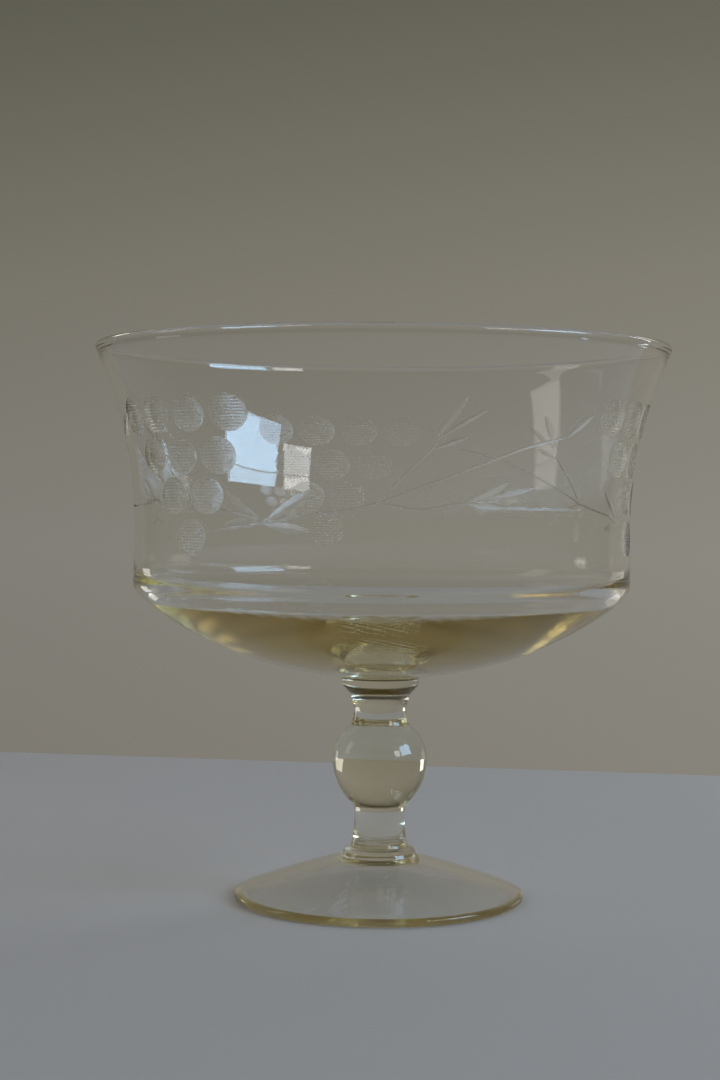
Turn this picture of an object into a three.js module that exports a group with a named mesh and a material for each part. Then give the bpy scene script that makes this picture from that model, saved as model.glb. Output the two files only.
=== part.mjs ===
// Stemmed bowl: a blown glass bowl on a solid stem with a ball knop and a conical foot.
// Millimetres, +Z up, standing on the plane z = 0 with its axis on Z.
// Each piece is one gather of glass, fused face to face to the next one up the stem.
import * as THREE from 'three';

// Heights of the pieces, stacked from the table up
const footHeight = 16.0;
const footCollarHeight = 3.2;
const lowerNeckHeight = 15.6;
const ballHeight = 29.6;
const upperNeckHeight = 10.6;
const bowlCollarHeight = 7.4;
const bowlHeight = 121.2;

// Foot: a conical shell with a rounded edge that stands on a flat ring
const footRadius = 53.4;
const footEdgeHeight = 3.0;
const footStandingWidth = 3.0;
const footShellThickness = 4.2;
const footCrownRise = 0.6;

// Foot collar and bowl collar: pads of glass with rounded sides; levels are above the piece's own base
const footCollarRadius = 13.8;
const bowlCollarRingRadius = 11.5;
const bowlCollarRingLevel = 1.2;
const bowlCollarRadius = 14.2;
const bowlCollarWidestLevel = 5.4;
const bowlSeatRadius = 13.9;

// Necks: waisted, each end as wide as the piece that it meets there
const lowerNeckFootRadius = 10.7;
const lowerNeckRadius = 9.25;
const lowerNeckWaistLevel = 11.3;
const lowerNeckBallRadius = 9.6;
const upperNeckBallRadius = 10.6;
const upperNeckRadius = 9.8;
const upperNeckWaistLevel = 5.4;
const upperNeckCollarRadius = 11.0;

// Ball: fuller below its widest level than above it, with a flat for each neck
const ballRadius = 17.5;
const ballWidestLevel = 16.6;

// Bowl: an elliptical dome below, a waisted wall that flares above, and a round bead on the rim
const domeSemiWidth = 116.0;
const domeSemiHeight = 84.3;
const heelRadius = 91.2;
const heelRounding = 2.5;
const waistRadius = 90.9;
const waistLevel = 55.5;
const flareRadius = 142.5;
const wallThickness = 2.4;
const floorThickness = 9.0;
const floorEdgeThickness = 3.0;
const insideHeelRounding = 6.5;
const rimBeadDiameter = 3.2;

// Facets round the axis
const bowlSegments = 72;
const footSegments = 72;
const stemSegments = 40;

// Joint faces, where one piece is fused to the next
const footCollarBase = footHeight;
const lowerNeckBase = footCollarBase + footCollarHeight;
const ballBase = lowerNeckBase + lowerNeckHeight;
const upperNeckBase = ballBase + ballHeight;
const bowlCollarBase = upperNeckBase + upperNeckHeight;
const bowlBase = bowlCollarBase + bowlCollarHeight;
const rimHeight = bowlBase + bowlHeight;
const waistHeight = bowlBase + waistLevel;

const glass = (color) => new THREE.MeshStandardMaterial({ color, roughness: 0.04, metalness: 0.0 });
const clearGlass = () => glass(0xd9dcd3);
const tintedGlass = () => glass(0xc9c4a8);

const point = (radius, height) => new THREE.Vector2(radius, height);

// Points on a round or elliptical arc, angles in degrees from the outward direction
function arc(centre, semiWidth, semiHeight, from, to, steps) {
  return Array.from({ length: steps + 1 }, (_, i) => {
    const angle = THREE.MathUtils.degToRad(from + ((to - from) * i) / steps);
    return point(centre.x + semiWidth * Math.cos(angle), centre.y + semiHeight * Math.sin(angle));
  });
}

// Points on a curve height -> radius, from one height to another
function curve(radiusAt, from, to, steps) {
  return Array.from({ length: steps + 1 }, (_, i) => {
    const height = from + ((to - from) * i) / steps;
    return point(radiusAt(height), height);
  });
}

// Spins an outline that runs from the axis, up the outside and back to the axis
function spin(name, outline, segments, material) {
  const geometry = new THREE.LatheGeometry(outline, segments).rotateX(Math.PI / 2);
  const mesh = new THREE.Mesh(geometry, material);
  mesh.name = name;
  return mesh;
}

// Solid piece between two flat joint faces
function stemPiece(name, side) {
  const outline = [point(0, side[0].y), ...side, point(0, side[side.length - 1].y)];
  return spin(name, outline, stemSegments, clearGlass());
}

// Side of a neck that widens from its waist to its two ends
function neckSide(base, height, baseRadius, narrowest, topRadius, waistAboveBase) {
  const top = base + height;
  const waist = base + waistAboveBase;
  const widen = (end, endRadius) => (level) => {
    const share = (level - waist) / (end - waist);
    return narrowest + (endRadius - narrowest) * share * share;
  };
  const below = curve(widen(base, baseRadius), base, waist, 5);
  const above = curve(widen(top, topRadius), waist, top, 5);
  return [...below, ...above.slice(1)];
}

function makeFoot() {
  const edgeRounding = footEdgeHeight / 2;
  const edgeCentre = point(footRadius - edgeRounding, edgeRounding);
  const slopeAngle = Math.atan2(footHeight - footEdgeHeight, edgeCentre.x - footCollarRadius);
  const edge = arc(edgeCentre, edgeRounding, edgeRounding, -90, 90 - THREE.MathUtils.radToDeg(slopeAngle), 8);
  const edgeEnd = edge[edge.length - 1];

  // Upper side, from the edge in to the collar, a little fuller than a straight cone
  const top = Array.from({ length: 7 }, (_, i) => {
    const share = (i + 1) / 7;
    const crown = footCrownRise * Math.sin(Math.PI * share);
    const radius = THREE.MathUtils.lerp(edgeEnd.x, footCollarRadius, share);
    return point(radius, THREE.MathUtils.lerp(edgeEnd.y, footHeight, share) + crown);
  });

  // Underside: the flat standing ring, then a cone one shell thickness below the upper side
  const ringInside = edgeCentre.x - footStandingWidth;
  const hollowTop = footHeight - footShellThickness / Math.cos(slopeAngle);
  const hollow = [point(0, hollowTop), point(footCollarRadius, hollowTop), point(ringInside, 0)];
  return spin('foot', [...hollow, ...edge, ...top, point(0, footHeight)], footSegments, tintedGlass());
}

function makeFootCollar() {
  const centre = point(lowerNeckFootRadius, footCollarBase);
  const shoulder = footCollarRadius - lowerNeckFootRadius;
  return stemPiece('foot_collar', arc(centre, shoulder, footCollarHeight, 0, 90, 7));
}

function makeLowerNeck() {
  const radii = [lowerNeckFootRadius, lowerNeckRadius, lowerNeckBallRadius];
  return stemPiece('lower_neck', neckSide(lowerNeckBase, lowerNeckHeight, ...radii, lowerNeckWaistLevel));
}

// Quarter of the ball from its widest level to a flat, on an ellipse that passes through the flat's edge
function ballSide(widest, flatHeight, flatRadius, steps) {
  const flatAngle = Math.acos(flatRadius / ballRadius);
  const semiHeight = Math.abs(flatHeight - widest) / Math.sin(flatAngle);
  const end = THREE.MathUtils.radToDeg(flatAngle) * Math.sign(flatHeight - widest);
  return arc(point(0, widest), ballRadius, semiHeight, 0, end, steps);
}

function makeBallKnop() {
  const widest = ballBase + ballWidestLevel;
  const below = ballSide(widest, ballBase, lowerNeckBallRadius, 8);
  const above = ballSide(widest, upperNeckBase, upperNeckBallRadius, 7);
  return stemPiece('ball_knop', [...below.reverse(), ...above.slice(1)]);
}

function makeUpperNeck() {
  const radii = [upperNeckBallRadius, upperNeckRadius, upperNeckCollarRadius];
  return stemPiece('upper_neck', neckSide(upperNeckBase, upperNeckHeight, ...radii, upperNeckWaistLevel));
}

function makeBowlCollar() {
  const widest = bowlCollarBase + bowlCollarWidestLevel;
  const ringTop = bowlCollarBase + bowlCollarRingLevel;
  const lower = new THREE.QuadraticBezierCurve(
    point(bowlCollarRingRadius, ringTop),
    point(bowlCollarRadius, (ringTop + widest) / 2),
    point(bowlCollarRadius, widest),
  ).getPoints(7);
  const upper = new THREE.QuadraticBezierCurve(
    lower[7],
    point(bowlCollarRadius, (widest + bowlBase) / 2),
    point(bowlSeatRadius, bowlBase),
  ).getPoints(3);
  const ring = point(upperNeckCollarRadius, bowlCollarBase);
  return stemPiece('bowl_collar', [ring, ...lower, ...upper.slice(1)]);
}

// Radius of the bowl's outer wall at a height above the heel
function wallRadius(height) {
  const fromWaist = height - waistHeight;
  if (fromWaist > 0) {
    return waistRadius + flareRadius - Math.sqrt(flareRadius ** 2 - fromWaist ** 2);
  }
  const heelHeight = domeHeight(heelRadius);
  return waistRadius + (heelRadius - waistRadius) * (fromWaist / (waistHeight - heelHeight)) ** 2;
}

// Height of the dome's outer side at a radius; it passes through the edge of the flat seat
function domeHeight(radius) {
  const drop = (r) => domeSemiHeight * (1 - Math.sqrt(1 - (r / domeSemiWidth) ** 2));
  return bowlBase + drop(radius) - drop(bowlSeatRadius);
}

function makeBowl() {
  const bead = rimBeadDiameter / 2;
  const flareTop = rimHeight - rimBeadDiameter;
  const beadCentre = point(wallRadius(flareTop) - bead, rimHeight - bead);

  const domeEnd = heelRadius - heelRounding;
  const dome = Array.from({ length: 11 }, (_, i) => {
    const radius = THREE.MathUtils.lerp(bowlSeatRadius, domeEnd, i / 10);
    return point(radius, domeHeight(radius));
  });
  const heelTop = domeHeight(heelRadius) + heelRounding;
  const heel = new THREE.QuadraticBezierCurve(
    dome[10],
    point(heelRadius, domeHeight(heelRadius)),
    point(wallRadius(heelTop), heelTop),
  ).getPoints(4);
  const outside = curve(wallRadius, heelTop, flareTop, 13);

  // Rounded rim, then the inside one wall thickness in, down to the floor, which thickens to its middle
  const rim = arc(beadCentre, bead, bead, 0, 225, 10);
  const insideRadius = (height) => wallRadius(height) - wallThickness;
  const floorRadius = heelRadius - wallThickness;
  const floorHeight = (radius) => {
    const thickness = THREE.MathUtils.lerp(floorThickness, floorEdgeThickness, (radius / floorRadius) ** 2);
    return domeHeight(radius) + thickness;
  };
  const floorEnd = floorRadius - insideHeelRounding;
  const insideHeelTop = floorHeight(floorRadius) + insideHeelRounding;
  const inside = curve(insideRadius, flareTop - bead, insideHeelTop, 11);
  const insideHeel = new THREE.QuadraticBezierCurve(
    inside[11],
    point(floorRadius, floorHeight(floorRadius)),
    point(floorEnd, floorHeight(floorEnd)),
  ).getPoints(5);
  const floor = Array.from({ length: 7 }, (_, i) => {
    const radius = THREE.MathUtils.lerp(floorEnd, 0, (i + 1) / 7);
    return point(radius, floorHeight(radius));
  });

  const outline = [
    point(0, bowlBase),
    ...dome,
    ...heel.slice(1),
    ...outside.slice(1),
    ...rim,
    ...inside,
    ...insideHeel.slice(1),
    ...floor,
  ];
  return spin('bowl', outline, bowlSegments, clearGlass());
}

const stemmedBowl = new THREE.Group();
stemmedBowl.add(
  makeFoot(),
  makeFootCollar(),
  makeLowerNeck(),
  makeBallKnop(),
  makeUpperNeck(),
  makeBowlCollar(),
  makeBowl(),
);

export default stemmedBowl;
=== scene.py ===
"""Looks of a stemmed glass bowl with a wheel-cut band of grapes and vine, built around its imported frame.

The real piece is blown and pressed glass, joined hot, so no surface is left inside it where two pieces meet.
The looks follow that: one closed glass skin stands for all the pieces of the frame, at their sizes.
"""

import math
from collections import namedtuple

import bpy
import numpy as np
from mathutils import Matrix, Vector
from mathutils.geometry import delaunay_2d_cdt


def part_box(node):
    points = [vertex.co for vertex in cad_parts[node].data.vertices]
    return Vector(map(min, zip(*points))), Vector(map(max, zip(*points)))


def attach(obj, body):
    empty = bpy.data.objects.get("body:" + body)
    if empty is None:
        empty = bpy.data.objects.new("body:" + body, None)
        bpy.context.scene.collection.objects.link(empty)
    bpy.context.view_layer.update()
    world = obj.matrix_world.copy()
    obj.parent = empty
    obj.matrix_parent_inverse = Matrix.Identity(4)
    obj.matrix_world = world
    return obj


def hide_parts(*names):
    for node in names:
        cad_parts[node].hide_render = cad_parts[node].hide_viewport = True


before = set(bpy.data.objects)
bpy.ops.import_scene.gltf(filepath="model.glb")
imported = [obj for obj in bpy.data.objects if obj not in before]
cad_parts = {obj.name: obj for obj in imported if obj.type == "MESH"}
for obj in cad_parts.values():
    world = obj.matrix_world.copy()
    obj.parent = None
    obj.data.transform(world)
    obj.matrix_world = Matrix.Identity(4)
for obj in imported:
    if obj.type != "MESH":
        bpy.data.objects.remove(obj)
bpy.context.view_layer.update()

# Units: shapes are worked out in millimetres and degrees, and the scene is in metres
MM = 0.001


def extent(node):
    """The largest radius and the highest level of a node, in millimetres."""
    _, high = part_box(node)
    return high.x / MM, high.z / MM


# Sizes that the frame gives
foot_radius, foot_top = extent("foot")
foot_collar_radius, foot_collar_top = extent("foot_collar")
lower_neck_foot_radius, ball_base = extent("lower_neck")
ball_radius, ball_top = extent("ball_knop")
upper_neck_collar_radius, upper_neck_top = extent("upper_neck")
bowl_collar_radius, bowl_base = extent("bowl_collar")
_, rim_top = extent("bowl")

# Foot
FOOT_EDGE_HEIGHT = 3.4
FOOT_EDGE_END_ANGLE = 70
FOOT_SHELL = 3.6
FOOT_CROWN = 0.6
FOOT_HOLLOW_RISE = 0.6

# Stem
LOWER_NECK_RADIUS = 9.25
LOWER_NECK_WAIST = 11.3
LOWER_NECK_BALL_RADIUS = 9.6
BALL_WIDEST = 16.6
UPPER_NECK_BALL_RADIUS = 10.6
UPPER_NECK_RADIUS = 9.8
UPPER_NECK_WAIST = 5.4
COLLAR_RING_RADIUS = 11.5
COLLAR_RING_LEVEL = 1.2
COLLAR_WIDEST = 5.4
COLLAR_UPRIGHT = 0.8
SEAT_RADIUS = 13.9
SEAT_FILLET = 3.0

# Bowl
DOME_SEMI_WIDTH = 116.0
DOME_SEMI_HEIGHT = 84.3
HEEL_RADIUS = 91.2
HEEL_ROUNDING = 2.5
WAIST_RADIUS = 90.9
WAIST_LEVEL = bowl_base + 55.5
FLARE_RADIUS = 148.5
WALL = 2.4
FLOOR_MIDDLE = 9.0
FLOOR_EDGE = 3.0
INSIDE_HEEL_ROUNDING = 6.5
RIM_RADIUS = 1.6
RIM_TAPER = 1.8

# Swirled ribs under the bowl, left by the dip mould
RIB_COUNT = 72
RIB_HEIGHT = 0.10
RIB_TWIST = 2.0
RIB_START = 34.0
RIB_END = 88.4
RIB_FADE_IN = 24.0
RIB_FADE_OUT = 4.0
COLUMNS_PER_RIB = 6
RIB_ROWS = 60

# Fineness of the skin
WALL_COLUMNS = 216
STEM_COLUMNS = 144
# Columns that are enough within a radius close to the axis
AXIS_COLUMNS = ((12, 1.5), (36, 5.0), (72, 9.0))
# Corners are softened by a bell curve: its width, the samples in a width, and the widths to each side
SOFTENING = 0.45
SOFTENING_SAMPLES = 3
SOFTENING_TAIL = 3
MOST_TURN = 5.0
LONGEST_STEP = 3.0
TINY = 1e-6

# Wheel-cut band
BAND_BOTTOM = 124.0
BAND_TOP = 190.0
PATTERN_RADIUS = 94.0
BUNCH_ANGLES = (-168.5, -48.5, 71.5)
SEAM_ANGLE = BUNCH_ANGLES[0] - 22.2
CUT_CLEARANCE = 1.3
LEAST_CUT = 1e-4
GRAPE_WIDTH = 15.6
GRAPE_HEIGHT = 12.6
GRAPE_DEPTH = 0.5
GRAPE_SPACING = 17.9
GRAPE_ROW_LEVELS = (175.8, 161.7, 148.2, 134.1)
GRAPE_ROW_SHIFTS = (0.0, 1.7, 3.2, 3.4)
STRIA_PITCH = 1.05
STRIA_HEIGHT = 0.10
STRIA_MARGIN = 0.5
STRIA_SHORTEST_HALF = 0.6
STRIA_STEP = 1.25
# The fine lines are at full height from where the hollow has a quarter of its depth
STRIA_FADE_IN = 4
VINE_WIDTH = 0.9
VINE_DEPTH = 0.19
VINE_STEP = 2.0
# A stroke is at full width from a twelfth of its length
VINE_FADE_IN = 12
LEAF_DEPTH = 0.38
LEAF_STEP = 1.2
LEAF_SKEW = 1.2
LEAF_FULLNESS = 0.8

# Vine between one bunch and the next: degrees from the first bunch's middle, and level
VINE_NODE = (47.8, 146.4)
VINE_STROKES = (
    ((8.6, 136.4), (23.0, 139.1), (31.5, 141.8), (39.9, 143.7), VINE_NODE, (58.2, 152.6), (72.3, 161.0),
     (79.6, 165.1), (89.7, 168.8)),
    (VINE_NODE, (52.0, 153.8), (58.3, 163.8), (59.1, 167.3)),
    (VINE_NODE, (56.9, 144.2), (65.6, 146.4), (75.7, 144.9), (96.4, 144.5)),
)
# Leaves: base, tip and width
VINE_LEAVES = (
    ((23.0, 139.4), (35.0, 151.0), 3.4),
    ((23.0, 139.1), (34.1, 136.7), 3.4),
    ((58.6, 166.7), (65.2, 181.6), 3.2),
    ((59.6, 167.4), (70.0, 177.6), 1.7),
    ((58.3, 163.7), (65.9, 167.9), 1.7),
    ((65.8, 146.6), (75.8, 153.9), 3.6),
    ((68.5, 147.4), (82.1, 151.7), 1.9),
    ((65.9, 146.1), (75.7, 145.0), 2.2),
    ((89.3, 168.5), (96.7, 177.2), 2.2),
)

# Mesh of the wall between the cuts: staggered rows of points, in columns counted from the seam
BAND_SPACING = 3.0
ROW_SPACING_SHARE = 0.87
FIRST_COLUMN = 0.8
COLUMN_STAGGER = 0.5
LAST_COLUMN_GAP = 0.2
POINTS_AT_A_TIME = 500
TRIANGLES_INSIDE_BORDER = 1
MERGE_DISTANCE = 1e-5

# Glass
GLASS_IOR = 1.52
GLASS_TINT = (0.758, 0.633, 0.092)
GLASS_TINT_DENSITY = 12.0
POLISHED_ROUGHNESS = 0.0
GROUND_ROUGHNESS = 0.42
GRAIN_SCALE = 900.0
GRAIN_DETAIL = 2.0
GRAIN_SPREAD = 0.3
# Share of the ground roughness that the finer wheel leaves in the grapes
GRAPE_GRIND = 0.7

# Camera
CAMERA_PLACE = (0.0, -0.7249, 0.1482)
CAMERA_TILT_DOWN = 1.251
CAMERA_TURN = 0.633
CAMERA_ROLL = 0.471
CAMERA_LENS = 65.47

# Stage
FLOOR_COLOUR = (0.268, 0.26, 0.25)
FLOOR_ROUGHNESS = 0.95
FLOOR_SHINE = 0.1
FLOOR_HALF = 3.0
BACKDROP_DISTANCE = 0.362
BACKDROP_TURN = 9.8
BACKDROP_HALF_WIDTH = 0.5
BACKDROP_HEIGHT = 0.6
# Painted light and shade on the backdrop: its brightness runs from the darker gain on the left to the
# lighter one on the right, between this far left and this far right
BACKDROP_SHADED_HALF_WIDTH = 0.22
BACKDROP_PAINTED_SHADE_LEFT = 0.87
BACKDROP_PAINTED_LIGHT_RIGHT = 1.03
# Colours of the backdrop at levels above the floor: taupe, with painted shade that darkens it towards the
# top
BACKDROP_TAUPE_WITH_PAINTED_SHADE = (
    (0.0, (0.238, 0.225, 0.195)),
    (0.12, (0.256, 0.245, 0.215)),
    (0.26, (0.220, 0.207, 0.172)),
    (0.41, (0.141, 0.136, 0.105)),
    (BACKDROP_HEIGHT, (0.05, 0.048, 0.038)),
)

# Light from all round, and the dim surround that is seen in its place
SKY_COLOUR = (0.64, 0.65, 0.67)
SKY_EXTRA_THROUGH_GLASS = 0.4
SURROUND_COLOUR = (0.175, 0.168, 0.135)
OVERHEAD_COLOUR = (0.05, 0.048, 0.04)
# Sine of the elevation where the surround starts to darken, and where it is darkest
OVERHEAD_START = 0.15
OVERHEAD_FULL = 0.7

# Lamps: panes of light on the right, soft panels on the left and behind, and two low cards
LAMP_TARGET = (0.0, 0.0, 0.15)
# Name, azimuth, elevation, distance, width, height, radiance and colour
LAMPS = (
    ("window_side_pane", 130.0, 16.0, 1.8, 0.5, 0.8, 5.0, (0.8, 0.9, 1.0)),
    ("window_far_pane", 71.5, 22.0, 2.0, 1.0, 0.78, 8.5, (0.45, 0.70, 1.0)),
    ("window_near_pane", 45.5, 18.0, 2.0, 0.48, 0.53, 5.5, (0.94, 0.97, 1.0)),
    ("left_panel", -92.0, 24.0, 2.0, 0.5, 1.1, 1.2, (1.0, 0.99, 0.96)),
    ("low_right_card", 135.0, -14.0, 0.42, 0.2, 0.09, 0.55, (1.0, 0.98, 0.92)),
    ("low_left_card", -128.0, -14.0, 0.42, 0.07, 0.08, 1.8, (1.0, 0.97, 0.9)),
    ("back_left_panel", -140.0, 36.0, 1.7, 0.7, 0.5, 0.4, (1.0, 0.99, 0.97)),
    ("back_right_panel", 145.0, 36.0, 1.7, 0.7, 0.5, 0.4, (1.0, 0.99, 0.97)),
)


# Curves

def arc(centre, radii, start, end, steps):
    """Points of an elliptic arc, between two angles in degrees."""
    angles = np.radians(np.linspace(start, end, steps + 1))
    return np.column_stack((centre[0] + radii[0] * np.cos(angles), centre[1] + radii[1] * np.sin(angles)))


def bend(start, corner, end, steps):
    """Points of a curve that leaves start towards corner and reaches end from it."""
    share = np.linspace(0.0, 1.0, steps + 1)[:, None]
    start, corner, end = np.array(start), np.array(corner), np.array(end)
    return (1 - share) ** 2 * start + 2 * share * (1 - share) * corner + share ** 2 * end


def even_steps(line, spacing, fewest=1):
    """Points along a line, at even steps of about the given spacing."""
    along = np.append(0.0, np.cumsum(np.hypot(*np.diff(line, axis=0).T)))
    places = np.linspace(0.0, along[-1], max(int(along[-1] / spacing), fewest) + 1)
    return np.column_stack([np.interp(places, along, line[:, axis]) for axis in (0, 1)])


def soften(outline):
    """An outline with its corners rounded over about the softening length, its two ends kept."""
    steps = np.hypot(*np.diff(outline, axis=0).T)
    outline = outline[np.append(True, steps > TINY)]
    even = even_steps(outline, SOFTENING / SOFTENING_SAMPLES)
    width = SOFTENING_TAIL * SOFTENING_SAMPLES
    offsets = np.arange(-width, width + 1)
    weights = np.exp(-0.5 * (offsets / SOFTENING_SAMPLES) ** 2)
    weights /= weights.sum()
    before = 2 * even[0] - even[width:0:-1]
    after = 2 * even[-1] - even[-2:-width - 2:-1]
    padded = np.vstack((before, even, after))
    return np.column_stack([np.convolve(padded[:, axis], weights, mode="valid") for axis in (0, 1)])


def thin(outline):
    """The points of a fine outline that are needed to follow it."""
    kept = [outline[0]]
    last = 0
    directions = np.diff(outline, axis=0)
    headings = np.degrees(np.unwrap(np.arctan2(directions[:, 1], directions[:, 0])))
    for index in range(1, len(outline) - 1):
        turn = abs(headings[index] - headings[last])
        step = np.hypot(*(outline[index] - kept[-1]))
        if turn >= MOST_TURN or step >= LONGEST_STEP:
            kept.append(outline[index])
            last = index
    kept.append(outline[-1])
    return np.array(kept)


def smooth_step(value):
    """A value held between 0 and 1, with soft ends."""
    value = np.clip(value, 0.0, 1.0)
    return value * value * (3 - 2 * value)


# Outlines of the pieces, as radius and level

def dome_rise(radius):
    """How far the bowl's underside rises from its middle to a radius."""
    return DOME_SEMI_HEIGHT * (1 - np.sqrt(1 - (radius / DOME_SEMI_WIDTH) ** 2))


def dome_level(radius):
    """Level of the bowl's underside at a radius."""
    return bowl_base + dome_rise(radius) - dome_rise(SEAT_RADIUS)


HEEL_LEVEL = float(dome_level(HEEL_RADIUS))


def wall_radius(level):
    """Outside radius of the bowl's wall at a level: narrowest at the waist, flaring above it."""
    above = np.maximum(level - WAIST_LEVEL, 0.0)
    below = np.minimum(level - WAIST_LEVEL, 0.0) / (WAIST_LEVEL - HEEL_LEVEL)
    flare = FLARE_RADIUS - np.sqrt(FLARE_RADIUS ** 2 - above ** 2)
    return WAIST_RADIUS + flare + (HEEL_RADIUS - WAIST_RADIUS) * below ** 2


def wall_lean(level):
    """Lean of the flare from upright at a level, in radians."""
    above = np.maximum(level - WAIST_LEVEL, 0.0)
    return np.arcsin(above / FLARE_RADIUS)


def into_wall(level, depth):
    """Points at a depth below the wall's outside, square to it."""
    lean = wall_lean(level)
    return np.column_stack((wall_radius(level) - depth * np.cos(lean), level + depth * np.sin(lean)))


def neck(base, base_radius, waist, waist_radius, top, top_radius):
    """A neck that narrows from its two ends to its waist."""
    levels = np.linspace(base, top, num=31)
    below = levels < waist
    share = (levels - waist) / np.where(below, waist - base, top - waist)
    widening = np.where(below, base_radius, top_radius) - waist_radius
    return np.column_stack((waist_radius + widening * share ** 2, levels))


def ball_side(widest, end, end_radius):
    """The ball from its widest level to one of its ends, on an ellipse."""
    end_angle = math.acos(end_radius / ball_radius)
    semi_height = (end - widest) / math.sin(end_angle)
    return arc((0.0, widest), (ball_radius, semi_height), 0, math.degrees(end_angle), steps=20)


def foot_outline():
    """The foot, from the middle of its hollow underside round its edge to the foot collar."""
    edge_radius = FOOT_EDGE_HEIGHT / 2
    edge_centre = (foot_radius - edge_radius, edge_radius)
    edge = arc(edge_centre, (edge_radius, edge_radius), -90, FOOT_EDGE_END_ANGLE, steps=16)
    share = np.linspace(0.0, 1.0, num=25)[:, None]
    cone_end = np.array((foot_collar_radius, foot_top))
    cone = edge[-1] + (cone_end - edge[-1]) * share
    cone[:, 1] += FOOT_CROWN * np.sin(np.pi * share[:, 0])
    # The hollow keeps an even thickness of glass above it, and closes in a low dome under the stem
    hollow = cone[cone[:, 1] > FOOT_SHELL][::-1] - (0.0, FOOT_SHELL)
    middle = (0.0, hollow[0][1] + FOOT_HOLLOW_RISE)
    crown = bend(middle, (hollow[0][0] / 2, middle[1]), hollow[0], steps=10)
    return np.vstack((crown, hollow[1:], edge, cone))


def stem_outline():
    """The stem, from the foot collar to the start of the bowl's ribs."""
    shoulder = (foot_collar_radius - lower_neck_foot_radius, foot_collar_top - foot_top)
    foot_collar = arc((lower_neck_foot_radius, foot_top), shoulder, 0, 90, steps=14)
    lower = neck(foot_collar_top, lower_neck_foot_radius,
                 foot_collar_top + LOWER_NECK_WAIST, LOWER_NECK_RADIUS,
                 ball_base, LOWER_NECK_BALL_RADIUS)
    ball_widest = ball_base + BALL_WIDEST
    ball_below = ball_side(ball_widest, ball_base, LOWER_NECK_BALL_RADIUS)[::-1]
    ball_above = ball_side(ball_widest, ball_top, UPPER_NECK_BALL_RADIUS)
    upper = neck(ball_top, UPPER_NECK_BALL_RADIUS,
                 ball_top + UPPER_NECK_WAIST, UPPER_NECK_RADIUS,
                 upper_neck_top, upper_neck_collar_radius)
    ring_top = upper_neck_top + COLLAR_RING_LEVEL
    widest = upper_neck_top + COLLAR_WIDEST
    swell = (bowl_collar_radius, (ring_top + widest) / 2)
    bowl_collar = bend((COLLAR_RING_RADIUS, ring_top), swell, (bowl_collar_radius, widest), steps=16)
    collar_end = (bowl_collar_radius, widest + COLLAR_UPRIGHT)
    seat_end = SEAT_RADIUS + SEAT_FILLET
    seat = bend(collar_end, (SEAT_RADIUS, bowl_base), (seat_end, dome_level(seat_end)), steps=10)
    dome_radii = np.linspace(seat_end, RIB_START, num=5)
    dome = np.column_stack((dome_radii, dome_level(dome_radii)))
    return np.vstack((foot_collar, lower, ball_below, ball_above, upper, bowl_collar, seat, dome))


def floor_level(radius):
    """Level of the bowl's floor inside, where the glass is thickest in the middle."""
    share = (radius / (HEEL_RADIUS - WALL)) ** 2
    return dome_level(radius) + FLOOR_MIDDLE + (FLOOR_EDGE - FLOOR_MIDDLE) * share


def heel_outline():
    """The turn from the ribbed underside into the wall, up to the cut band."""
    corner = (HEEL_RADIUS, HEEL_LEVEL)
    wall_start = HEEL_LEVEL + HEEL_ROUNDING
    dome_end = (RIB_END, dome_level(RIB_END))
    heel = bend(dome_end, corner, (wall_radius(wall_start), wall_start), steps=14)
    levels = np.linspace(wall_start, BAND_BOTTOM, num=6)[1:]
    return np.vstack((heel, np.column_stack((wall_radius(levels), levels))))


def inside_outline():
    """From the cut band over the rim, down the inside of the wall and along the floor to the middle."""
    top_lean = float(wall_lean(rim_top))
    flare_end = rim_top - RIM_RADIUS * (1 + math.sin(top_lean))
    outer = into_wall(np.linspace(BAND_TOP, flare_end, num=6), 0.0)
    end_lean = math.degrees(wall_lean(flare_end))
    rim_centre = into_wall(np.array((flare_end,)), RIM_RADIUS)[0]
    rim = arc(rim_centre, (RIM_RADIUS, RIM_RADIUS), -end_lean, 180 - end_lean, steps=24)
    meet = HEEL_RADIUS - WALL
    wall_end = floor_level(meet) + INSIDE_HEEL_ROUNDING
    levels = np.linspace(flare_end, wall_end, num=60)[1:]
    thickening = (2 * RIM_RADIUS - WALL) * smooth_step(1 - (flare_end - levels) / RIM_TAPER)
    inner = into_wall(levels, WALL + thickening)
    floor_start = meet - INSIDE_HEEL_ROUNDING
    floor_edge = (floor_start, floor_level(floor_start))
    heel = bend(inner[-1], (meet, floor_level(meet)), floor_edge, steps=20)
    radii = np.linspace(floor_start, 0.0, num=40)[1:]
    floor = np.column_stack((radii, floor_level(radii)))
    return np.vstack((outer, rim, inner, heel, floor))


# The skin, made ring by ring from the middle of the foot's hollow to the middle of the bowl's floor

Ring = namedtuple("Ring", "indices angles")


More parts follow.
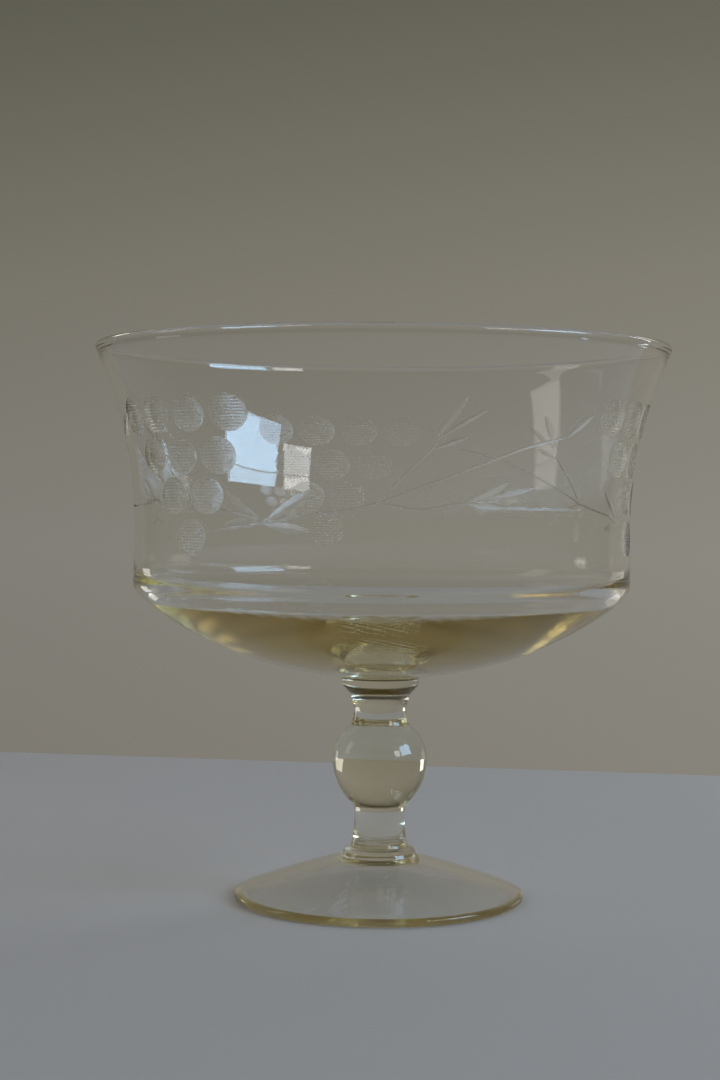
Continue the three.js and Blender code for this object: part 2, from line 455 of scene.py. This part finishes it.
class Skin:
    """Points and faces of one closed surface.

    Angles are in degrees, 0 facing the front, growing to the right.
    """

    def __init__(self):
        self.points = []
        self.faces = []
        self.grinds = {}
        self.sharp_edges = set()

    def add(self, radii, angles, levels):
        """Adds points and returns their indices."""
        first = len(self.points)
        turn = np.radians(angles)
        heights = np.broadcast_to(levels, turn.shape)
        places = np.column_stack((radii * np.sin(turn), -radii * np.cos(turn), heights))
        self.points.extend(map(tuple, places))
        return list(range(first, len(self.points)))

    def ring(self, radius, level, columns, start=0.0):
        """Adds a ring of even columns."""
        angles = start + np.arange(columns) * 360.0 / columns
        return Ring(self.add(radius, angles, level), angles)

    def bridge(self, lower, upper):
        """Joins two rings, also where their columns differ."""
        low_count, high_count = len(lower.indices), len(upper.indices)
        offset = int(np.argmin(np.abs((upper.angles - lower.angles[0] + 180) % 360 - 180)))
        if low_count == high_count:
            for column in range(low_count):
                after = (column + 1) % low_count
                self.faces.append((
                    lower.indices[column],
                    lower.indices[after],
                    upper.indices[(after + offset) % high_count],
                    upper.indices[(column + offset) % high_count],
                ))
            return
        low_step, high_step = 0, 0
        while low_step < low_count or high_step < high_count:
            low = lower.indices[low_step % low_count]
            high = upper.indices[(high_step + offset) % high_count]
            low_next = (low_step + 1) * high_count
            high_next = (high_step + 1) * low_count
            if high_step == high_count or (low_step < low_count and low_next <= high_next):
                self.faces.append((low, lower.indices[(low_step + 1) % low_count], high))
                low_step += 1
            else:
                self.faces.append((low, upper.indices[(high_step + 1 + offset) % high_count], high))
                high_step += 1

    def start_cap(self, level, ring):
        """Closes the skin at its first ring, with a point on the axis."""
        middle = self.add(0.0, np.zeros(1), level)[0]
        after = ring.indices[1:] + ring.indices[:1]
        self.faces.extend((middle, b, a) for a, b in zip(ring.indices, after))

    def end_cap(self, ring, level):
        """Closes the skin at its last ring, with a point on the axis."""
        middle = self.add(0.0, np.zeros(1), level)[0]
        after = ring.indices[1:] + ring.indices[:1]
        self.faces.extend((a, b, middle) for a, b in zip(ring.indices, after))


def columns_for(radius, most):
    """Fewer columns close to the axis."""
    for columns, reach in AXIS_COLUMNS:
        if radius < reach:
            return columns
    return most


def follow(skin, ring, outline, most, start=0.0):
    """Adds a ring at each point of an outline, joined to the ring before, and returns the last ring."""
    for radius, level in outline:
        following = skin.ring(radius, level, columns_for(radius, most), start)
        skin.bridge(ring, following)
        ring = following
    return ring


def ribbed_dome(skin, ring):
    """The bowl's underside, on columns that follow the swirl of the ribs."""
    columns = RIB_COUNT * COLUMNS_PER_RIB
    evenly = np.arange(columns) * 360.0 / columns
    crest = 0.5 - 0.5 * np.cos(2 * np.pi * np.arange(columns) / COLUMNS_PER_RIB)
    wave = -RIB_HEIGHT * crest ** 2
    for radius in np.geomspace(RIB_START, RIB_END, RIB_ROWS + 1)[1:]:
        twist = -math.degrees(RIB_TWIST * math.log(radius / RIB_START))
        fade_in = smooth_step((radius - RIB_START) / RIB_FADE_IN)
        fade_out = smooth_step((RIB_END - radius) / RIB_FADE_OUT)
        angles = evenly + twist
        levels = dome_level(radius) + fade_in * fade_out * wave
        following = Ring(skin.add(radius, angles, levels), angles)
        skin.bridge(ring, following)
        ring = following
    return ring


# The cut band: its shapes lie on the wall unrolled flat

def unroll(angle, level):
    """A place on the wall as a point of the flat pattern."""
    return np.array((math.radians(angle) * PATTERN_RADIUS, level))


def smooth_line(points, spacing):
    """A smooth curve through points (Catmull-Rom), at even steps."""
    points = np.array(points)
    padded = np.vstack((2 * points[0] - points[1], points, 2 * points[-1] - points[-2]))
    share = np.linspace(0.0, 1.0, num=20, endpoint=False)[:, None]
    fine = []
    for before, start, end, after in zip(padded, padded[1:], padded[2:], padded[3:]):
        fine.append(0.5 * (2 * start + (end - before) * share
                           + (2 * before - 5 * start + 4 * end - after) * share ** 2
                           + (3 * start - 3 * end + after - before) * share ** 3))
    return even_steps(np.vstack(fine + [points[-1:]]), spacing, fewest=3)


class Grape:
    """A round hollow ground by the flat of a wheel, with the wheel's fine lines across it."""

    def __init__(self, centre):
        self.centre = centre
        self.half = np.array((GRAPE_WIDTH / 2, GRAPE_HEIGHT / 2))
        self.outline = arc(centre, self.half, 0, 360, steps=48)[:-1]
        self.creases = []
        self.valleys = []
        row_step = STRIA_PITCH / 2
        row_reach = int((self.half[1] - STRIA_MARGIN) / row_step)
        for row in range(-row_reach, row_reach + 1):
            height = row * row_step
            chord = self.half[0] * math.sqrt(1 - (height / self.half[1]) ** 2) - STRIA_MARGIN
            if chord > STRIA_SHORTEST_HALF:
                count = max(int(2 * chord / STRIA_STEP), 1)
                across = np.linspace(-chord, chord, count + 1)
                lines = self.creases if row % 2 else self.valleys
                lines.append(np.column_stack((across, np.full_like(across, height))) + centre)

    def depth(self, points):
        """Depth of the cut at points."""
        away = (points - self.centre) / self.half
        dish = np.maximum(1 - (away ** 2).sum(1), 0.0)
        lines = STRIA_HEIGHT * np.cos(2 * np.pi * (points[:, 1] - self.centre[1]) / STRIA_PITCH)
        return GRAPE_DEPTH * dish + lines * np.minimum(dish * STRIA_FADE_IN, 1.0)


class Leaf:
    """A pointed leaf ground by the edge of a wheel: two slopes that meet along its middle."""

    def __init__(self, base, tip, width):
        self.base = base
        self.length = float(np.hypot(*(tip - base)))
        self.along = (tip - base) / self.length
        self.across = np.array((-self.along[1], self.along[0]))
        self.half = width / 2
        share = np.linspace(0.0, 1.0, int(self.length / LEAF_STEP) + 1)[:, None]
        middle = base + (tip - base) * share
        reach = self.half_width(share)
        left = middle + self.across * reach
        right = middle - self.across * reach
        self.outline = np.vstack((left, right[-2:0:-1]))
        self.creases = [middle]
        self.valleys = []

    def half_width(self, share):
        """Half the leaf's width along its length: widest past its middle."""
        return self.half * np.sin(np.pi * np.clip(share, 0, 1) ** LEAF_SKEW) ** LEAF_FULLNESS

    def depth(self, points):
        """Depth of the cut at points."""
        away = points - self.base
        share = away @ self.along / self.length
        reach = np.maximum(self.half_width(share), TINY)
        slope = np.maximum(1 - np.abs(away @ self.across) / reach, 0.0)
        inside = (share > 0) & (share < 1)
        return np.where(inside, LEAF_DEPTH * slope * reach / self.half, 0.0)


class Stroke:
    """A line of the vine, ground by the edge of a wheel, that runs out to nothing at its two ends."""

    def __init__(self, points):
        self.line = smooth_line(points, VINE_STEP)
        direction = np.gradient(self.line, axis=0)
        direction /= np.hypot(*direction.T)[:, None]
        across = np.column_stack((-direction[:, 1], direction[:, 0]))
        share = np.linspace(0.0, 1.0, len(self.line))
        from_end = np.minimum(share, 1 - share)
        self.reach = VINE_WIDTH / 2 * np.sqrt(np.minimum(from_end * VINE_FADE_IN, 1.0))
        left = self.line + across * self.reach[:, None]
        right = self.line - across * self.reach[:, None]
        self.outline = np.vstack((left, right[-2:0:-1]))
        self.creases = [self.line]
        self.valleys = []

    def depth(self, points):
        """Depth of the cut at points."""
        deepest = np.zeros(len(points))
        near_low = self.line.min(0) - VINE_WIDTH
        near_high = self.line.max(0) + VINE_WIDTH
        near = np.nonzero(((points > near_low) & (points < near_high)).all(1))[0]
        pieces = zip(self.line, self.line[1:], self.reach, self.reach[1:])
        for start, end, start_reach, end_reach in pieces:
            run = end - start
            away = points[near] - start
            share = np.clip(away @ run / (run @ run), 0.0, 1.0)
            distance = np.hypot(*(away - share[:, None] * run).T)
            reach = np.maximum(start_reach + (end_reach - start_reach) * share, TINY)
            slope = np.maximum(1 - distance / reach, 0.0) * reach / (VINE_WIDTH / 2)
            deepest[near] = np.maximum(deepest[near], VINE_DEPTH * slope)
        return deepest


def vine_spot(bunch, spot):
    """A place of the vine, given from the middle of its bunch, as a point of the flat pattern."""
    angle, level = spot
    return unroll(bunch + angle, level)


def band_cuts():
    """The cuts of the band: a bunch of ten grapes and the vine to the next bunch, three times round."""
    cuts = []
    spacing = math.degrees(GRAPE_SPACING / PATTERN_RADIUS)
    for bunch in BUNCH_ANGLES:
        for row, (level, shift) in enumerate(zip(GRAPE_ROW_LEVELS, GRAPE_ROW_SHIFTS)):
            in_row = len(GRAPE_ROW_LEVELS) - row
            for place in range(in_row):
                angle = bunch + shift + (place - (in_row - 1) / 2) * spacing
                cuts.append(Grape(unroll(angle, level)))
        for stroke in VINE_STROKES:
            cuts.append(Stroke([vine_spot(bunch, spot) for spot in stroke]))
        for base, tip, width in VINE_LEAVES:
            cuts.append(Leaf(vine_spot(bunch, base), vine_spot(bunch, tip), width))
    return cuts


def cut_depth(cuts, points):
    """The deepest cut at points of the flat pattern."""
    return np.max([cut.depth(points) for cut in cuts], axis=0)


class FlatPattern:
    """Points and lines of the band, laid flat, for the mesh to follow.

    The seam is there twice, at the left and the right end, and seam_copies gives the left point
    that each right one is a copy of.
    """

    def __init__(self):
        self.points = []
        self.edges = []
        self.sharp = set()
        turn = 2 * math.pi * PATTERN_RADIUS
        seam_steps = int((BAND_TOP - BAND_BOTTOM) / BAND_SPACING)
        seam_levels = np.linspace(BAND_BOTTOM, BAND_TOP, seam_steps + 1)
        seam = np.array([unroll(SEAM_ANGLE, level) for level in seam_levels])
        steps = np.arange(WALL_COLUMNS + 1)[:, None] * np.array((turn / WALL_COLUMNS, 0.0))
        self.bottom = self.add_points(seam[0] + steps)
        right = self.add_points(seam[1:-1] + (turn, 0.0))
        self.top = self.add_points(seam[-1] + steps)
        left = self.add_points(seam[1:-1])
        self.border = self.bottom + right + self.top[::-1] + left[::-1]
        self.seam_copies = dict(zip(right, left))
        self.seam_copies[self.bottom[-1]] = self.bottom[0]
        self.seam_copies[self.top[-1]] = self.top[0]

    def add_points(self, points):
        """Adds points and returns their indices."""
        first = len(self.points)
        self.points.extend(map(tuple, points))
        return list(range(first, len(self.points)))

    def add_line(self, points, closed, sharp):
        """Adds a line whose edges stay in the mesh."""
        indices = self.add_points(points)
        following = indices[1:] + indices[:1] if closed else indices[1:]
        first = len(self.edges)
        self.edges.extend(zip(indices, following))
        if sharp:
            self.sharp.update(range(first, len(self.edges)))

    def add_cut(self, cut):
        """Adds the outline of a cut and the lines inside it."""
        self.add_line(cut.outline, closed=True, sharp=True)
        for crease in cut.creases:
            self.add_line(crease, closed=False, sharp=True)
        for valley in cut.valleys:
            self.add_line(valley, closed=False, sharp=False)


def loose_points(cuts):
    """Points that fill the wall between the cuts, in staggered rows from the seam on the left."""
    left = unroll(SEAM_ANGLE, BAND_BOTTOM)[0]
    row_count = int((BAND_TOP - BAND_BOTTOM) / (BAND_SPACING * ROW_SPACING_SHARE))
    rows = []
    for row, level in enumerate(np.linspace(BAND_BOTTOM, BAND_TOP, row_count + 1)[1:-1]):
        columns = np.arange(FIRST_COLUMN + COLUMN_STAGGER * (row % 2), WALL_COLUMNS - LAST_COLUMN_GAP)
        places = left + columns * 2 * math.pi * PATTERN_RADIUS / WALL_COLUMNS
        rows.append(np.column_stack((places, np.full_like(places, level))))
    points = np.vstack(rows)
    outlines = np.vstack([cut.outline for cut in cuts])
    clear = cut_depth(cuts, points) <= 0
    for first in range(0, len(points), POINTS_AT_A_TIME):
        block = slice(first, first + POINTS_AT_A_TIME)
        apart = points[block, None] - outlines[None]
        gaps = np.hypot(apart[..., 0], apart[..., 1])
        clear[block] &= gaps.min(1) > CUT_CLEARANCE
    return points[clear]


FlatMesh = namedtuple("FlatMesh", "points edges faces place_of edge_sources")


def flat_mesh(pattern):
    """Triangles that fill the pattern and keep its lines, and the place in them of each pattern point."""
    given = [Vector(point) for point in pattern.points]
    points, edges, faces, point_sources, edge_sources, _ = delaunay_2d_cdt(
        given, pattern.edges, [pattern.border], TRIANGLES_INSIDE_BORDER, MERGE_DISTANCE)
    place_of = {source: place for place, sources in enumerate(point_sources) for source in sources}
    return FlatMesh(np.array([tuple(point) for point in points]), edges, faces, place_of, edge_sources)


def place_points(skin, lower_ring, pattern, flat, angles, depth):
    """Rolls the points of the flat mesh up onto the wall, pushed in by the cuts, and returns their indices.

    The bottom row takes the points of the ring below, and the right end of the seam those of its left end.
    """
    radii, levels = into_wall(flat.points[:, 1], depth).T
    merged = {flat.place_of[copy]: flat.place_of[kept] for copy, kept in pattern.seam_copies.items()}
    bottom = {flat.place_of[source]: index for source, index in zip(pattern.bottom, lower_ring.indices)}
    indices = []
    for place in range(len(flat.points)):
        if place in merged:
            indices.append(None)
        elif place in bottom:
            indices.append(bottom[place])
        else:
            indices.extend(skin.add(radii[place], angles[place:place + 1], levels[place]))
    return [indices[merged.get(place, place)] for place in range(len(indices))]


def place_faces(skin, cuts, pattern, flat, indices):
    """Adds the faces of the flat mesh to the skin, with the grind of the cuts and their sharp edges."""
    middles = np.array([flat.points[list(face)].mean(0) for face in flat.faces])
    grapes = [cut for cut in cuts if isinstance(cut, Grape)]
    ground = cut_depth(cuts, middles) > LEAST_CUT
    finer = cut_depth(grapes, middles) > LEAST_CUT
    for face, is_ground, is_finer in zip(flat.faces, ground, finer):
        if is_ground:
            skin.grinds[len(skin.faces)] = GRAPE_GRIND if is_finer else 1.0
        skin.faces.append(tuple(indices[corner] for corner in face))
    for edge, sources in zip(flat.edges, flat.edge_sources):
        if not pattern.sharp.isdisjoint(sources):
            skin.sharp_edges.add(tuple(sorted((indices[edge[0]], indices[edge[1]]))))


def cut_band(skin, lower_ring):
    """The wall with its cuts, from the ring below it. Returns the ring at its top."""
    cuts = band_cuts()
    pattern = FlatPattern()
    for cut in cuts:
        pattern.add_cut(cut)
    pattern.add_points(loose_points(cuts))
    flat = flat_mesh(pattern)
    angles = np.degrees(flat.points[:, 0] / PATTERN_RADIUS)
    indices = place_points(skin, lower_ring, pattern, flat, angles, cut_depth(cuts, flat.points))
    place_faces(skin, cuts, pattern, flat, indices)
    top = [flat.place_of[source] for source in pattern.top[:-1]]
    return Ring([indices[place] for place in top], angles[top])


def first_rings(skin, base):
    """The rings of the foot and stem, from the point in the middle of the foot's hollow."""
    radius, level = base[1]
    first = skin.ring(radius, level, columns_for(radius, STEM_COLUMNS))
    skin.start_cap(base[0][1], first)
    return follow(skin, first, base[2:], STEM_COLUMNS)


def glass_skin():
    """The whole closed surface of the glass."""
    base = thin(soften(np.vstack((foot_outline(), stem_outline()))))
    heel = thin(soften(heel_outline()))
    inside = thin(soften(inside_outline()))
    skin = Skin()
    ring = first_rings(skin, base)
    ring = ribbed_dome(skin, ring)
    ring = follow(skin, ring, heel[1:], WALL_COLUMNS, SEAM_ANGLE)
    ring = cut_band(skin, ring)
    ring = follow(skin, ring, inside[1:-1], WALL_COLUMNS, SEAM_ANGLE)
    skin.end_cap(ring, inside[-1][1])
    return skin


# Materials

def new_material(name):
    """A material, and the tree of its nodes."""
    material = bpy.data.materials.new(name)
    material.use_nodes = True
    return material, material.node_tree


def set_inputs(tree, node, inputs):
    """Gives a node its inputs: the output of another node is linked, and any other value is set."""
    for name, value in inputs.items():
        if isinstance(value, bpy.types.NodeSocket):
            tree.links.new(value, node.inputs[name])
        else:
            node.inputs[name].default_value = value


def add_node(tree, kind, inputs):
    """Adds a node with its inputs."""
    node = tree.nodes.new(kind)
    set_inputs(tree, node, inputs)
    return node


def add_math(tree, operation, *values):
    """Adds a node that does one operation on its values, and returns its result."""
    node = tree.nodes.new("ShaderNodeMath")
    node.operation = operation
    set_inputs(tree, node, dict(enumerate(values)))
    return node.outputs["Value"]


def glass_material():
    """Clear glass with a straw tint that shows where light runs far in it, matt where the wheel has cut."""
    material, tree = new_material("clear_glass")
    cut = tree.nodes.new("ShaderNodeAttribute")
    cut.attribute_name = "ground"
    place = tree.nodes.new("ShaderNodeNewGeometry")
    grain = add_node(tree, "ShaderNodeTexNoise", {
        "Vector": place.outputs["Position"],
        "Scale": GRAIN_SCALE,
        "Detail": GRAIN_DETAIL,
    })
    varied = add_node(tree, "ShaderNodeMapRange", {
        "Value": grain.outputs["Fac"],
        "To Min": GROUND_ROUGHNESS * (1 - GRAIN_SPREAD),
        "To Max": GROUND_ROUGHNESS * (1 + GRAIN_SPREAD),
    })
    roughness = add_node(tree, "ShaderNodeMix", {
        "Factor": cut.outputs["Fac"],
        "A": POLISHED_ROUGHNESS,
        "B": varied.outputs["Result"],
    })
    set_inputs(tree, tree.nodes["Principled BSDF"], {
        "Base Color": (1.0, 1.0, 1.0, 1.0),
        "Transmission Weight": 1.0,
        "IOR": GLASS_IOR,
        "Roughness": roughness.outputs["Result"],
    })
    body = add_node(tree, "ShaderNodeVolumeAbsorption", {
        "Color": (*GLASS_TINT, 1.0),
        "Density": GLASS_TINT_DENSITY,
    })
    set_inputs(tree, tree.nodes["Material Output"], {"Volume": body.outputs["Volume"]})
    return material


def floor_material():
    """A pale, plain, matt floor."""
    material, tree = new_material("pale_floor")
    set_inputs(tree, tree.nodes["Principled BSDF"], {
        "Base Color": (*FLOOR_COLOUR, 1.0),
        "Roughness": FLOOR_ROUGHNESS,
        "Specular IOR Level": FLOOR_SHINE,
    })
    return material


def backdrop_material():
    """A glowing sheet in soft taupe with painted shade, darker towards the top and the left, that is seen
    from the front only.
    """
    material, tree = new_material("taupe_backdrop_painted_shade")
    tree.nodes.remove(tree.nodes["Principled BSDF"])
    place = tree.nodes.new("ShaderNodeNewGeometry")
    split = add_node(tree, "ShaderNodeSeparateXYZ", {"Vector": place.outputs["Position"]})
    height = add_node(tree, "ShaderNodeMapRange", {"Value": split.outputs["Z"], "From Max": BACKDROP_HEIGHT})
    # Painted shade: the taupe darkens towards the top of the sheet
    ramp = add_node(tree, "ShaderNodeValToRGB", {"Fac": height.outputs["Result"]})
    elements = ramp.color_ramp.elements
    between = [elements.new(level / BACKDROP_HEIGHT) for level, _ in BACKDROP_TAUPE_WITH_PAINTED_SHADE[1:-1]]
    for stop, (_, colour) in zip((elements[0], *between, elements[-1]), BACKDROP_TAUPE_WITH_PAINTED_SHADE):
        stop.color = (*colour, 1.0)
    # Painted light and shade: the sheet is darker to the left and lighter to the right
    across = add_node(tree, "ShaderNodeMapRange", {
        "Value": split.outputs["X"],
        "From Min": -BACKDROP_SHADED_HALF_WIDTH,
        "From Max": BACKDROP_SHADED_HALF_WIDTH,
        "To Min": BACKDROP_PAINTED_SHADE_LEFT,
        "To Max": BACKDROP_PAINTED_LIGHT_RIGHT,
    })
    glow = add_node(tree, "ShaderNodeEmission", {
        "Color": ramp.outputs["Color"],
        "Strength": across.outputs["Result"],
    })
    clear = tree.nodes.new("ShaderNodeBsdfTransparent")
    choose = add_node(tree, "ShaderNodeMixShader", {
        "Fac": place.outputs["Backfacing"],
        1: glow.outputs["Emission"],
        2: clear.outputs["BSDF"],
    })
    set_inputs(tree, tree.nodes["Material Output"], {"Surface": choose.outputs["Shader"]})
    return material


# Objects of the scene

def glass_body():
    """The glass as one object, riding on the frame."""
    skin = glass_skin()
    mesh = bpy.data.meshes.new("glass_body")
    mesh.from_pydata([Vector(point) * MM for point in skin.points], [], skin.faces)
    mesh.polygons.foreach_set("use_smooth", np.ones(len(mesh.polygons), dtype=bool))
    ground = mesh.attributes.new("ground", "FLOAT", "FACE")
    for face, grind in skin.grinds.items():
        ground.data[face].value = grind
    for edge in mesh.edges:
        edge.use_edge_sharp = tuple(sorted(edge.vertices)) in skin.sharp_edges
    mesh.materials.append(glass_material())
    piece = bpy.data.objects.new("glass_body", mesh)
    bpy.context.scene.collection.objects.link(piece)
    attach(piece, "root")
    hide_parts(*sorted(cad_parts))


def plane(name, corners, material):
    """A flat four-cornered sheet of the stage."""
    mesh = bpy.data.meshes.new(name)
    mesh.from_pydata(corners, [], [(0, 1, 2, 3)])
    mesh.materials.append(material)
    sheet = bpy.data.objects.new(name, mesh)
    bpy.context.scene.collection.objects.link(sheet)
    return sheet


def stage():
    """Floor and backdrop."""
    half = FLOOR_HALF
    floor_corners = ((-half, -half, 0), (half, -half, 0), (half, half, 0), (-half, half, 0))
    plane("floor", floor_corners, floor_material())
    wide, high, away = BACKDROP_HALF_WIDTH, BACKDROP_HEIGHT, BACKDROP_DISTANCE
    slant = wide * math.tan(math.radians(BACKDROP_TURN))
    left, right = (-wide, away + slant), (wide, away - slant)
    backdrop_corners = ((*left, 0), (*right, 0), (*right, high), (*left, high))
    backdrop = plane("backdrop", backdrop_corners, backdrop_material())
    backdrop.visible_diffuse = False
    backdrop.visible_shadow = False


def world_light():
    """Even soft light from all round. The eye, and the glass, see a dim surround instead."""
    world = bpy.data.worlds.new("soft_studio")
    bpy.context.scene.world = world
    world.use_nodes = True
    tree = world.node_tree
    towards = tree.nodes.new("ShaderNodeTexCoord")
    split = add_node(tree, "ShaderNodeSeparateXYZ", {"Vector": towards.outputs["Generated"]})
    upwards = add_node(tree, "ShaderNodeMapRange", {
        "Value": split.outputs["Z"],
        "From Min": OVERHEAD_START,
        "From Max": OVERHEAD_FULL,
    })
    upwards.interpolation_type = "SMOOTHSTEP"
    shade = tree.nodes.new("ShaderNodeMix")
    shade.data_type = "RGBA"
    set_inputs(tree, shade, {
        "Factor": upwards.outputs["Result"],
        "A": (*SURROUND_COLOUR, 1.0),
        "B": (*OVERHEAD_COLOUR, 1.0),
    })
    surround = add_node(tree, "ShaderNodeBackground", {"Color": shade.outputs["Result"]})
    rays = tree.nodes.new("ShaderNodeLightPath").outputs
    strength = add_math(tree, "MULTIPLY_ADD", rays["Is Transmission Ray"], SKY_EXTRA_THROUGH_GLASS, 1.0)
    sky = tree.nodes["Background"]
    set_inputs(tree, sky, {"Color": (*SKY_COLOUR, 1.0), "Strength": strength})
    # Seen: a ray of the eye, a mirror or the glass, under half a diffuse bounce, which is none
    seen = add_math(tree, "MAXIMUM", rays["Is Camera Ray"], rays["Is Glossy Ray"])
    seen = add_math(tree, "MAXIMUM", seen, rays["Is Transmission Ray"])
    direct = add_math(tree, "LESS_THAN", rays["Diffuse Depth"], 0.5)
    choose = add_node(tree, "ShaderNodeMixShader", {
        "Fac": add_math(tree, "MULTIPLY", seen, direct),
        1: sky.outputs["Background"],
        2: surround.outputs["Background"],
    })
    set_inputs(tree, tree.nodes["World Output"], {"Surface": choose.outputs["Shader"]})


def softbox(name, azimuth, elevation, distance, width, height, radiance, colour):
    """A flat lamp that faces the bowl, at degrees to the right of the front and degrees up."""
    light = bpy.data.lights.new(name, "AREA")
    light.shape = "RECTANGLE"
    light.size = width
    light.size_y = height
    light.energy = radiance * math.pi * width * height
    light.color = colour
    lamp = bpy.data.objects.new(name, light)
    bpy.context.scene.collection.objects.link(lamp)
    turn, rise = math.radians(azimuth), math.radians(elevation)
    flat = distance * math.cos(rise)
    target = Vector(LAMP_TARGET)
    place = target + Vector((flat * math.sin(turn), -flat * math.cos(turn), distance * math.sin(rise)))
    lamp.location = place
    lamp.rotation_euler = (target - place).to_track_quat("-Z", "Y").to_euler()
    lamp.visible_camera = False


def camera():
    """The camera, where the photograph was taken from."""
    data = bpy.data.cameras.new("camera")
    data.lens = CAMERA_LENS
    eye = bpy.data.objects.new("camera", data)
    bpy.context.scene.collection.objects.link(eye)
    turn = Matrix.Rotation(math.radians(CAMERA_TURN), 4, "Z")
    tilt = Matrix.Rotation(math.radians(90.0 - CAMERA_TILT_DOWN), 4, "X")
    roll = Matrix.Rotation(math.radians(CAMERA_ROLL), 4, "Z")
    eye.matrix_world = Matrix.Translation(CAMERA_PLACE) @ turn @ tilt @ roll
    bpy.context.scene.camera = eye


camera()
glass_body()
stage()
world_light()
for lamp_values in LAMPS:
    softbox(*lamp_values)

scene = bpy.context.scene
scene.view_settings.view_transform = "Standard"
scene.cycles.max_bounces = 48
scene.cycles.transmission_bounces = 32
scene.cycles.glossy_bounces = 40
scene.cycles.blur_glossy = 0.0
